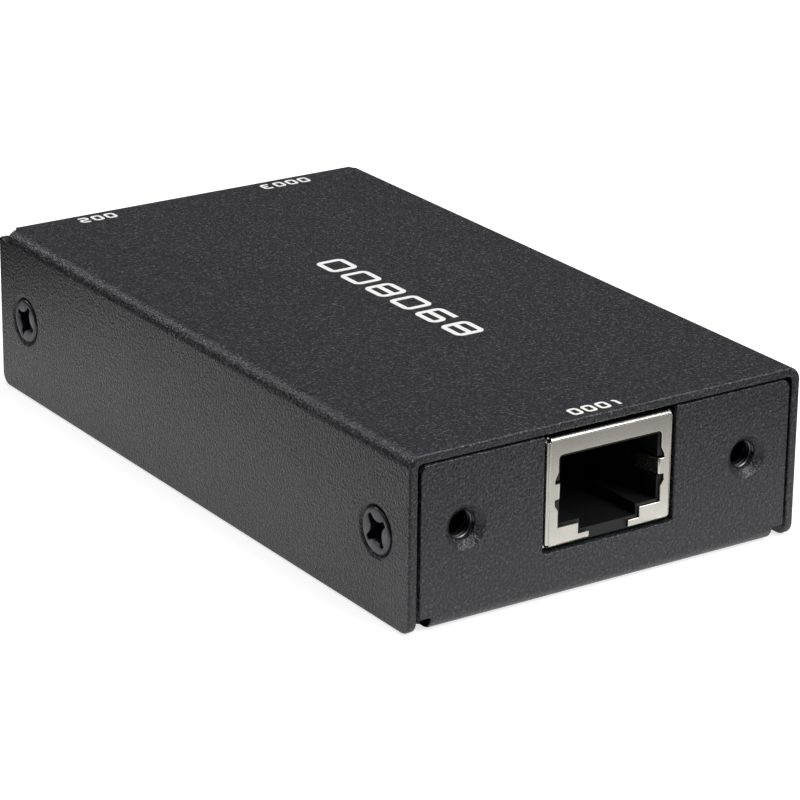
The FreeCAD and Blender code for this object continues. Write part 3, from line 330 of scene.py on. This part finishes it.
tree, given = growth("tapped_thread", {"Pitch": "Float", "Length": "Float", "Ridge": "Float",
                                       "Bore": "Float", "Finish": "Material"})
turns = put(tree, "ShaderNodeMath", links={0: given["Length"], 1: given["Pitch"]},
            operation="DIVIDE")
helix = put(tree, "GeometryNodeCurveSpiral", {"Resolution": 48},
            {"Rotations": turns.outputs[0], "Start Radius": given["Bore"],
             "End Radius": given["Bore"], "Height": given["Length"]})
ridge = put(tree, "GeometryNodeCurvePrimitiveCircle", {"Resolution": 6},
            {"Radius": given["Ridge"]})
wound = put(tree, "GeometryNodeCurveToMesh", {"Fill Caps": True},
            {"Curve": helix.outputs["Curve"], "Profile Curve": ridge.outputs["Curve"]})
lying = put(tree, "GeometryNodeTransform", {"Rotation": (math.radians(90), 0, 0)},
            {"Geometry": wound.outputs["Mesh"]})
both = put(tree, "GeometryNodeInstanceOnPoints", links={"Points": given["Geometry"],
                                                        "Instance": lying.outputs["Geometry"]})
close_growth(tree, both.outputs["Instances"], {"Material": given["Finish"]})

# Freshly cut steel with the tap's fine marks along the thread, its colour darkened to grey as
# painted shade of the hole.
thread_steel_painted_shade = metal("shade_painted_thread_steel", "#58585B", "#747478", 0.34, 0.06, 0.0001)
thread_ends = [Vector(holes["pos_m"])
               + Vector((side * HOLE_SPACING / 2, THREAD_START + THREAD_LENGTH, 0))
               for side in (-1, 1)]
threads = grown("front_hole_threads", seats("thread_ends", thread_ends), tree,
                {"Pitch": THREAD_PITCH, "Length": THREAD_LENGTH, "Ridge": THREAD_RIDGE,
                 "Bore": HOLE_RADIUS, "Finish": thread_steel_painted_shade})
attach(threads, "root")

# ---- Standoffs, board and board screws ----
# Hexagonal brass standoffs are pressed into the floor; the glass-fibre board, in green solder mask
# over etched copper, sits on them under zinc-plated pan-head screws.

# Turning blurs the brass's warm mirror; bright zinc is smoother and a little bluish.
turned_brass = metal("turned_brass", "#A98748", "#C4A361", 0.3, 0.08, 0.0002)
zinc_plate = metal("bright_zinc_plate", "#B2B5B8", "#CBCDD0", 0.28, 0.08, 0.00025)
for end in ("front", "rear"):
    for side in ("left", "right"):
        coat(nodes["board_standoff_%s_%s" % (end, side)], turned_brass)
        coat(nodes["board_screw_%s_%s" % (end, side)], zinc_plate)

# Liquid solder mask lies thin and glossy over the copper, which shows as paler tracks.
TRACK_PITCH = 0.0012
TRACK_WIDTH = 0.000336
TRACK_STEP = 0.00002
BRICK = 4 * TRACK_PITCH
solder_mask, tree, place = blank_material("green_solder_mask")
tracks = put(tree, "ShaderNodeTexBrick",
             {"Scale": 1 / BRICK, "Color1": linear("#0D4426"), "Color2": linear("#0F4E2C"),
              "Mortar": linear("#1E7446"), "Mortar Size": TRACK_WIDTH / 2 / BRICK,
              "Mortar Smooth": 0.2}, {"Vector": place})
step = put(tree, "ShaderNodeBump", {"Strength": 0.4, "Distance": TRACK_STEP},
           {"Height": tracks.outputs["Fac"]})
shader = put(tree, "ShaderNodeBsdfPrincipled", {"Roughness": 0.28, "IOR": 1.5},
             {"Base Color": tracks.outputs["Color"], "Normal": step.outputs["Normal"]})
put(tree, "ShaderNodeOutputMaterial", links={"Surface": shader.outputs["BSDF"]})
coat(nodes["main_board"], solder_mask)

# ---- Network jack ----
# A shield folded from 0.25 mm nickel-plated sheet over a black moulded housing, with eight
# gold-plated spring contacts in the roof of the plug cavity.
SHIELD_EDGE_RADIUS = 0.00006
MOULD_GRAIN_HEIGHT = 0.00001

# Matt nickel is a warm pale grey that blurs what it mirrors.
nickel_plate = metal("matt_nickel_plate", "#CFCCC3", "#E0DDD3", 0.24, 0.05, 0.00016)
shield = softened("network_jack_shell", SHIELD_EDGE_RADIUS, "jack_shield_folded")
coat(shield, nickel_plate)
stand_for(shield, "plated_shield", "network_jack_shell")


def moulding(name, dark, light, roughness, grain_size):
    """Moulded plastic, epoxy or ferrite with a spark-eroded or pressed grain of the given size. The
    real grain is finer and would not show."""
    material, tree, place = blank_material(name)
    grain = put(tree, "ShaderNodeTexNoise", {"Scale": 1 / grain_size, "Detail": 2},
                {"Vector": place}).outputs["Fac"]
    colour = shades(tree, grain, (0.3, dark), (0.7, light))
    relief = put(tree, "ShaderNodeBump", {"Strength": 0.3, "Distance": MOULD_GRAIN_HEIGHT},
                 {"Height": grain})
    shader = put(tree, "ShaderNodeBsdfPrincipled", {"Roughness": roughness, "IOR": 1.5},
                 {"Base Color": colour, "Normal": relief.outputs["Normal"]})
    put(tree, "ShaderNodeOutputMaterial", links={"Surface": shader.outputs["BSDF"]})
    return material


# Glass-filled nylon comes black and dull from its mould, and the contacts have a warm thin gilding.
black_nylon = moulding("black_glass_filled_nylon", "#060608", "#0F0F12", 0.5, 0.00015)
gold_plate = metal("thin_gold_plate", "#C0933F", "#DDB565", 0.22, 0.06, 0.0002)
coat(nodes["network_jack_housing"], black_nylon)
coat(nodes["network_jack_contacts"], gold_plate)

# ---- Rear ports ----
# A video port and a square data port, in the same nickel-plated sheet, black plastic and gold as
# the jack. Each is soldered to the board's rear edge and looks out of a closed hole.
for port in ("video_port", "data_port"):
    folded = softened(port + "_shell", SHIELD_EDGE_RADIUS, port + "_shield_folded")
    coat(folded, nickel_plate)
    stand_for(folded, "plated_shield", port + "_shell")
    coat(nodes[port + "_insert"], black_nylon)
    coat(nodes[port + "_contacts"], gold_plate)

# ---- Parts on the board ----
# Moulded epoxy packages, a pressed ferrite coil, drawn aluminium cans and fired ceramic chips, all
# reflowed onto the board.

# Epoxy is almost black and dull, ferrite greyer and duller still, and fired ceramic brown with a
# slight gloss; a drawn can mirrors softly.
epoxy = moulding("moulded_epoxy", "#141416", "#1E1E21", 0.6, 0.00012)
ferrite = moulding("pressed_ferrite", "#26262A", "#34343A", 0.7, 0.0002)
ceramic = moulding("fired_ceramic", "#6B5137", "#8A6B4A", 0.5, 0.0003)
drawn_can = metal("drawn_aluminium", "#BFC0C2", "#DADBDD", 0.25, 0.06, 0.0003)
for name in ("network_transformer", "video_chip", "network_chip", "memory_chip",
             "voltage_regulator"):
    coat(nodes[name], epoxy)
coat(nodes["crystal"], zinc_plate)
coat(nodes["power_inductor"], ferrite)
coat(nodes["filter_capacitors"], drawn_can)
coat(nodes["chip_parts"], ceramic)

# ---- Top cover ----
# The U-shaped cover is folded from the same 1 mm sheet as the tray and gets the same coat, which
# lies a little thicker on its outer edges.
COVER_EDGE_RADIUS = 0.00022
cover = softened("top_cover", COVER_EDGE_RADIUS, "cover_painted")
coat(cover, powder_coat)
stand_for(cover, "powder_coated_steel", "top_cover")

# ---- Numbers printed on the cover ----
# White epoxy ink, screen-printed on the powder coat and baked: plain square-shouldered numbers, a
# long one beside the middle line and a short one by each port.

# A digit's outer height and width, the step from one to the next, and its stroke's width.
LONG_DIGITS = {"height": 0.0036, "width": 0.0038, "pitch": 0.00487, "stroke": 0.00065}
SHORT_DIGITS = {"height": 0.0017, "width": 0.00135, "pitch": 0.0017, "stroke": 0.00036}
# Places of the numbers: right of the middle line and in front of the cross line, or in from the
# case's ends.
LONG_RIGHT = 0.0011
LONG_FORWARD = 0.00215
NETWORK_LEFT = 0.0008
FRONT_MARGIN = 0.0017
REAR_MARGIN = 0.0031
# The film's middle lies a little under the cover's top, and a stroke's open ends a little lower.
INK_THICKNESS = 0.00002
INK_SUNK = 0.2 * INK_THICKNESS
INK_LAP = 0.000003
INK_SPECK = 0.00015
INK_SPECK_HEIGHT = 0.00001
CORNER_IN_STROKES = 0.8
# The strokes of each digit, as corners on a grid that is one cell wide and two cells high.
DIGIT_STROKES = {
    "0": [[(0, 0), (1, 0), (1, 2), (0, 2), (0, 0)]],
    "1": [[(0.2, 1.6), (0.55, 2), (0.55, 0)]],
    "2": [[(0, 2), (1, 2), (1, 1), (0, 1), (0, 0), (1, 0)]],
    "3": [[(0, 2), (1, 2), (1, 0), (0, 0)], [(0.35, 1), (1, 1)]],
    "6": [[(1, 2), (0, 2), (0, 0), (1, 0), (1, 1), (0, 1)]],
    "8": [[(0, 0), (1, 0), (1, 2), (0, 2), (0, 0)], [(0, 1), (1, 1)]],
}


def number_strokes(name, digits, height, width, pitch, stroke):
    """The centre lines of a row of digits about the origin, reading along +X. An open stroke's ends
    lie a little lower, so that they pass under the stroke that they meet."""
    lines = bpy.data.curves.new(name, "CURVE")
    lines.dimensions = "3D"
    start = -(len(digits) - 1) * pitch / 2 - (width - stroke) / 2
    for place, digit in enumerate(digits):
        for corners in DIGIT_STROKES[digit]:
            closed = corners[0] == corners[-1]
            kept = corners[:-1] if closed else corners
            spline = lines.splines.new("POLY")
            spline.points.add(len(kept) - 1)
            spline.use_cyclic_u = closed
            for point, (across, up) in zip(spline.points, kept):
                point.co = (start + place * pitch + across * (width - stroke),
                            (up - 1) * (height - stroke) / 2, 0, 1)
            if not closed:
                spline.points[0].co.z = spline.points[-1].co.z = -INK_LAP
    return lines


# Each centre line gets rounded corners and is drawn out into a flat band of ink.
printing, given = growth("printed_strokes", {"Stroke": "Float", "Corner": "Float",
                                             "Thickness": "Float", "Ink": "Material"})
rounded = put(printing, "GeometryNodeFilletCurve", {"Count": 6, "Limit Radius": True},
              {"Curve": given["Geometry"], "Radius": given["Corner"]}, mode="POLY")
upright = put(printing, "GeometryNodeSetCurveNormal", links={"Curve": rounded.outputs["Curve"]},
              mode="Z_UP")
band = put(printing, "GeometryNodeCurvePrimitiveQuadrilateral",
           links={"Width": given["Stroke"], "Height": given["Thickness"]})
drawn = put(printing, "GeometryNodeCurveToMesh", {"Fill Caps": True},
            {"Curve": upright.outputs["Curve"], "Profile Curve": band.outputs["Curve"]})
close_growth(printing, drawn.outputs["Mesh"], {"Material": given["Ink"]})

# The ink is a matt white film, faintly mottled by the screen's mesh.
white_ink, tree, place = blank_material("white_screen_ink")
speck = put(tree, "ShaderNodeTexNoise", {"Scale": 1 / INK_SPECK, "Detail": 2}, {"Vector": place})
colour = shades(tree, speck.outputs["Fac"], (0.35, "#EDEDEA"), (0.65, "#FAFAF8"))
relief = put(tree, "ShaderNodeBump", {"Strength": 0.3, "Distance": INK_SPECK_HEIGHT},
             {"Height": speck.outputs["Fac"]})
shader = put(tree, "ShaderNodeBsdfPrincipled", {"Roughness": 0.5, "IOR": 1.5},
             {"Base Color": colour, "Normal": relief.outputs["Normal"]})
put(tree, "ShaderNodeOutputMaterial", links={"Surface": shader.outputs["BSDF"]})


def port_line(node):
    """The place across the case of a rear port's middle."""
    low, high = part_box(node)
    return (low[0] + high[0]) / 2


cover_low, cover_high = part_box("top_cover")
front_row = cover_low[1] + FRONT_MARGIN
rear_row = cover_high[1] - REAR_MARGIN
for name, digits, form, across, along, heading in (
        ("number_long", "008068", LONG_DIGITS, LONG_RIGHT, -LONG_FORWARD, -90),
        ("number_network", "0001", SHORT_DIGITS, -NETWORK_LEFT, front_row, 0),
        ("number_data", "002", SHORT_DIGITS, port_line("data_port_shell"), rear_row, 180),
        ("number_video", "0003", SHORT_DIGITS, port_line("video_port_shell"), rear_row, 180)):
    row = grown(name, number_strokes(name, digits, **form), printing,
                {"Stroke": form["stroke"], "Corner": CORNER_IN_STROKES * form["stroke"],
                 "Thickness": INK_THICKNESS, "Ink": white_ink})
    row.data.transform(Matrix.Translation((across, along, cover_high[2] - INK_SUNK))
                       @ Matrix.Rotation(math.radians(heading), 4, "Z"))
    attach(row, "root")

# ---- Cover screws ----
# M3 countersunk steel, blackened, with a cross recess punched into the flat of the head. The punch
# leaves rounded lobes between the four arms and walls that lean in towards the bottom.

# Radii of the screw, and depths below its head's flat.
HEAD_RADIUS = 0.0026
HEAD_FLAT_RADIUS = 0.00242
RIM_TOP = 0.00022
RIM_FOOT = 0.0003
SHANK_RADIUS = 0.0015
TIP_BEVEL = 0.0003
# The recess from its middle: its arms, the lobes between them, and its floor.
RECESS_REACH = 0.00188
RECESS_HALF_ARM = 0.0003
RECESS_LOBE = 0.00144
LOBE_STEPS = 7
RECESS_DEPTH = 0.0013
RECESS_LEAN = 0.00022
RECESS_POINT = 0.0005
# The rounded end of an arm: how far back and how far out, both in half widths of the arm.
ARM_END = ((0, 0), (0, 0.5), (0.12, 0.9), (0.4, 1))
# The rolled edges of the recess and of the flat: how far beyond the recess or inside the flat's
# radius, and how deep.
RECESS_ROLL = ((0, 0.00008), (0.00003, 0.00002), (0.00008, 0))
FLAT_ROLL = ((0.0002, 0.00001), (0.0001, 0.00003), (0.00003, 0.00007), (0, 0.00014))


def recess_outline(inset):
    """The cross recess's outline, drawn in by an inset: arms with round lobes between them."""
    half_arm = RECESS_HALF_ARM - inset
    reach = RECESS_REACH - inset
    lobe = RECESS_LOBE + inset
    centre = RECESS_HALF_ARM + RECESS_LOBE
    arm = [(reach - back * half_arm, out * half_arm) for back, out in ARM_END]
    angles = [-math.pi / 2 - math.pi / 2 * step / LOBE_STEPS for step in range(LOBE_STEPS + 1)]
    quarter = (arm + [(centre + lobe * math.cos(angle), centre + lobe * math.sin(angle))
                      for angle in angles]
               + [(across, along) for along, across in reversed(arm[1:])])
    return [Matrix.Rotation(turn * math.pi / 2, 2) @ Vector(point)
            for turn in range(4) for point in quarter]


def screw_mesh(length):
    """One countersunk screw with its head's flat at z = 0, as rings from the recess outwards."""
    rim = recess_outline(0)
    count = len(rim)

    def ring(radius, depth):
        return [Vector((*(point.normalized() * radius), -depth)) for point in rim]

    def cross(inset, depth):
        return [Vector((*point, -depth)) for point in recess_outline(inset)]

    rings = [cross(RECESS_LEAN, RECESS_DEPTH)]
    rings += [cross(-beyond, depth) for beyond, depth in RECESS_ROLL]
    rings += [ring(HEAD_FLAT_RADIUS - inside, depth) for inside, depth in FLAT_ROLL]
    flat_end = len(rings) - 1
    rings += [ring(HEAD_RADIUS, RIM_TOP), ring(HEAD_RADIUS, RIM_FOOT),
              ring(SHANK_RADIUS, RIM_FOOT + HEAD_RADIUS - SHANK_RADIUS),
              ring(SHANK_RADIUS, length - TIP_BEVEL), ring(SHANK_RADIUS - TIP_BEVEL, length)]
    shape = bmesh.new()
    bottom = shape.verts.new((0, 0, -RECESS_DEPTH - RECESS_POINT))
    tip = shape.verts.new((0, 0, -length))
    loops = [[shape.verts.new(point) for point in each] for each in rings]
    # Faces of the recess and of the head's flank are marked for the painted shade finish.
    shade = shape.faces.layers.bool.new("shaded")
    for i in range(count):
        following = (i + 1) % count
        shape.faces.new((bottom, loops[0][following], loops[0][i]))[shade] = True
        shape.faces.new((tip, loops[-1][i], loops[-1][following]))
        for level, (inner, outer) in enumerate(zip(loops, loops[1:])):
            wall = shape.faces.new((inner[i], inner[following], outer[following], outer[i]))
            wall[shade] = level == 0 or level >= flat_end
    bmesh.ops.recalc_face_normals(shape, faces=shape.faces)
    mesh = bpy.data.meshes.new("countersunk_screw")
    shape.to_mesh(mesh)
    shape.free()
    return mesh


tree, given = growth("set_screws", {"Screw": "Object", "Finish": "Material",
                                    "Painted_Shade": "Material"})
blank = put(tree, "GeometryNodeObjectInfo", links={"Object": given["Screw"]})
turned = put(tree, "GeometryNodeInputNamedAttribute", {"Name": "heading"},
             data_type="FLOAT_VECTOR")
driven = put(tree, "GeometryNodeInstanceOnPoints",
             links={"Points": given["Geometry"], "Instance": blank.outputs["Geometry"],
                    "Rotation": turned.outputs["Attribute"]})
# The marked faces take the near-black painted shade finish.
shaded = put(tree, "GeometryNodeInputNamedAttribute", {"Name": "shaded"}, data_type="BOOLEAN")
close_growth(tree, driven.outputs["Instances"], {"Material": given["Finish"]},
             {"Material": given["Painted_Shade"], "Selection": shaded.outputs["Attribute"]})

# Black oxide over milled steel: dark and even, with a satin gloss that catches on every edge.
black_oxide = metal("black_oxide_steel", "#4E4E51", "#626266", 0.32, 0.06, 0.00015)

# The recess and the head's flank get a near-black finish: painted shade for the dark recess and the
# dark crevice round the head.
recess_painted_shade = metal("black_oxide_painted_shade", "#17171A", "#222225", 0.5, 0.06, 0.00015)

# How far each screw was turned when it came tight, in degrees.
SCREW_TURNS = {("front", "left"): 39, ("front", "right"): 12, ("rear", "left"): 65,
               ("rear", "right"): 77}
heads = []
headings = []
for (end, side), angle in SCREW_TURNS.items():
    low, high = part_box("cover_screw_%s_%s" % (end, side))
    outwards = 1 if side == "right" else -1
    heads.append((high[0] if outwards > 0 else low[0], (low[1] + high[1]) / 2,
                  (low[2] + high[2]) / 2))
    facing = Matrix.Rotation(outwards * math.pi / 2, 3, "Y") @ Matrix.Rotation(
        math.radians(angle), 3, "Z")
    headings.append(facing.to_euler())
screw_seats = seats("screw_seats", heads)
heading = screw_seats.attributes.new("heading", "FLOAT_VECTOR", "POINT")
for item, turn in zip(heading.data, headings):
    item.vector = turn
low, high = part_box("cover_screw_front_left")
pattern_screw = bpy.data.objects.new("pattern_screw", screw_mesh(high[0] - low[0]))
screws = grown("cover_screws", screw_seats, tree,
               {"Screw": pattern_screw, "Finish": black_oxide, "Painted_Shade": recess_painted_shade})
bpy.data.objects.remove(pattern_screw)
stand_for(screws, "blackened_screws", *["cover_screw_%s_%s" % pair for pair in SCREW_TURNS])

# ---- Floor, light and camera ----
# The part lies on a white sheet under three soft lamps. Away from it the sheet is darker to
# everything but the camera, as in a small light tent, so that its faces shade from bottom to top.
FLOOR_REACH = 3
FLOOR_DROP = 0.0001
# How much the sheet glows of itself, to the camera and in what the part mirrors close by.
SHEET_GLOW = 0.74
MIRRORED_GLOW = 0.62
corners = [(x * FLOOR_REACH, y * FLOOR_REACH, -FLOOR_DROP)
           for x, y in ((-1, -1), (1, -1), (1, 1), (-1, 1))]
floor_mesh = bpy.data.meshes.new("floor")
floor_mesh.from_pydata(corners, [], [(0, 1, 2, 3)])
floor = bpy.data.objects.new("floor", floor_mesh)
bpy.context.scene.collection.objects.link(floor)


def bounced(tree, path):
    """One for a ray that comes off something glossy or through something clear, otherwise zero."""
    return put(tree, "ShaderNodeMath", links={0: path.outputs["Is Glossy Ray"],
                                              1: path.outputs["Is Transmission Ray"]},
               operation="MAXIMUM").outputs[0]


# How far a spot of the sheet lies from the case's outline, in metres.
white_sheet, tree, place = blank_material("white_sheet")
path = put(tree, "ShaderNodeLightPath")
folded = put(tree, "ShaderNodeVectorMath", links={0: place}, operation="ABSOLUTE")
apart = put(tree, "ShaderNodeVectorMath", {1: (cad_box[1][0], cad_box[1][1], 1)},
            {0: folded.outputs[0]}, operation="SUBTRACT")
outside = put(tree, "ShaderNodeVectorMath", {1: (0, 0, 0)}, {0: apart.outputs[0]},
              operation="MAXIMUM")
away = put(tree, "ShaderNodeVectorMath", links={0: outside.outputs[0]},
           operation="LENGTH").outputs["Value"]

# The sheet as the part meets it: paler close by, and brighter still in its mirrored light.
fall = put(tree, "ShaderNodeMapRange", {"From Min": 0.012, "From Max": 0.055, "To Min": 0.0,
                                        "To Max": 1.0}, {"Value": away})
shade = shades(tree, fall.outputs["Result"], (0.0, "#A4A4A4"), (0.45, "#707070"), (0.8, "#2A2A2A"))
hidden = put(tree, "ShaderNodeBsdfDiffuse", links={"Color": shade})
lit = put(tree, "ShaderNodeMapRange", {"From Min": 0.014, "From Max": 0.05,
                                       "To Min": MIRRORED_GLOW, "To Max": 0.0}, {"Value": away})
near = put(tree, "ShaderNodeEmission", {"Color": linear("#FFFFFF")},
           {"Strength": lit.outputs["Result"]})
mirrored = put(tree, "ShaderNodeAddShader", links={0: hidden.outputs[0], 1: near.outputs[0]})
unseen = put(tree, "ShaderNodeMixShader", links={0: bounced(tree, path), 1: hidden.outputs[0],
                                                 2: mirrored.outputs[0]})

# The sheet as the camera sees it: white, with the part's shadow on it.
matt = put(tree, "ShaderNodeBsdfDiffuse", {"Color": linear("#C4C4C4")})
glow = put(tree, "ShaderNodeEmission", {"Color": linear("#FFFFFF"), "Strength": SHEET_GLOW})
lifted = put(tree, "ShaderNodeAddShader", links={0: matt.outputs[0], 1: glow.outputs[0]})
seen = put(tree, "ShaderNodeMixShader", links={0: path.outputs["Is Camera Ray"],
                                               1: unseen.outputs[0], 2: lifted.outputs[0]})
put(tree, "ShaderNodeOutputMaterial", links={"Surface": seen.outputs[0]})
floor_mesh.materials.append(white_sheet)

# The tent: dim at its walls and brighter overhead, and white to the camera. Where the white sheet
# meets it, a narrow white band shows in metal too.
world = bpy.data.worlds.new("light_tent")
bpy.context.scene.world = world
world.use_nodes = True
tree = world.node_tree
tree.nodes.clear()
path = put(tree, "ShaderNodeLightPath")
towards = put(tree, "ShaderNodeTexCoord")
height = put(tree, "ShaderNodeSeparateXYZ", links={"Vector": towards.outputs["Generated"]})
rise = put(tree, "ShaderNodeMapRange", {"From Min": 0.3, "From Max": 0.95, "To Min": 0.03,
                                        "To Max": 0.2}, {"Value": height.outputs["Z"]})
room = put(tree, "ShaderNodeBackground", {"Color": linear("#FFFFFF")},
           {"Strength": rise.outputs["Result"]})
horizon = put(tree, "ShaderNodeMapRange", {"From Min": 0.0, "From Max": 0.03, "To Min": 1.0,
                                           "To Max": 0.0}, {"Value": height.outputs["Z"]})
mirrored = put(tree, "ShaderNodeMath", links={0: bounced(tree, path),
                                              1: horizon.outputs["Result"]}, operation="MULTIPLY")
white = put(tree, "ShaderNodeMath", links={0: path.outputs["Is Camera Ray"],
                                           1: mirrored.outputs[0]}, operation="MAXIMUM")
paper = put(tree, "ShaderNodeBackground", {"Color": linear("#FFFFFF"), "Strength": 1.0})
seen = put(tree, "ShaderNodeMixShader", links={0: white.outputs[0], 1: room.outputs[0],
                                               2: paper.outputs[0]})
put(tree, "ShaderNodeOutputWorld", links={"Surface": seen.outputs[0]})


def softbox(name, place, target, width, height, power):
    """A rectangular soft light at a place, turned to face a target."""
    data = bpy.data.lights.new(name, "AREA")
    data.shape = "RECTANGLE"
    data.size = width
    data.size_y = height
    data.energy = power
    lamp = bpy.data.objects.new(name, data)
    lamp.location = place
    lamp.rotation_euler = (Vector(target) - Vector(place)).to_track_quat("-Z", "Y").to_euler()
    bpy.context.scene.collection.objects.link(lamp)


softbox("overhead", (0.0, 0.0, 0.8), (0, 0, 0), 0.5, 0.5, 2.4)
softbox("front", (0.24, -0.52, 0.56), (0, 0, 0.01), 0.35, 0.65, 5.4)
softbox("rear", (-0.26, 0.6, 0.46), (0, 0, 0.01), 0.4, 0.2, 1.2)

# A long lens looks down on the front left corner from 0.39 m away.
CAMERA_PLACE = (-0.19943, -0.30132, 0.14334)
CAMERA_RIGHT = (0.83227, -0.55428, 0.01026)
CAMERA_UP = (0.18843, 0.30025, 0.93506)
lens = bpy.data.cameras.new("camera")
lens.sensor_width = 36
lens.lens = 159.48
lens.clip_start = 0.01
camera = bpy.data.objects.new("camera", lens)
across = Vector(CAMERA_RIGHT).normalized()
backward = across.cross(Vector(CAMERA_UP)).normalized()
upward = backward.cross(across)
turn = Matrix((across, upward, backward)).transposed()
camera.matrix_world = Matrix.Translation(CAMERA_PLACE) @ turn.to_4x4()
bpy.context.scene.collection.objects.link(camera)
bpy.context.scene.camera = camera
bpy.context.scene.view_settings.view_transform = "Standard"
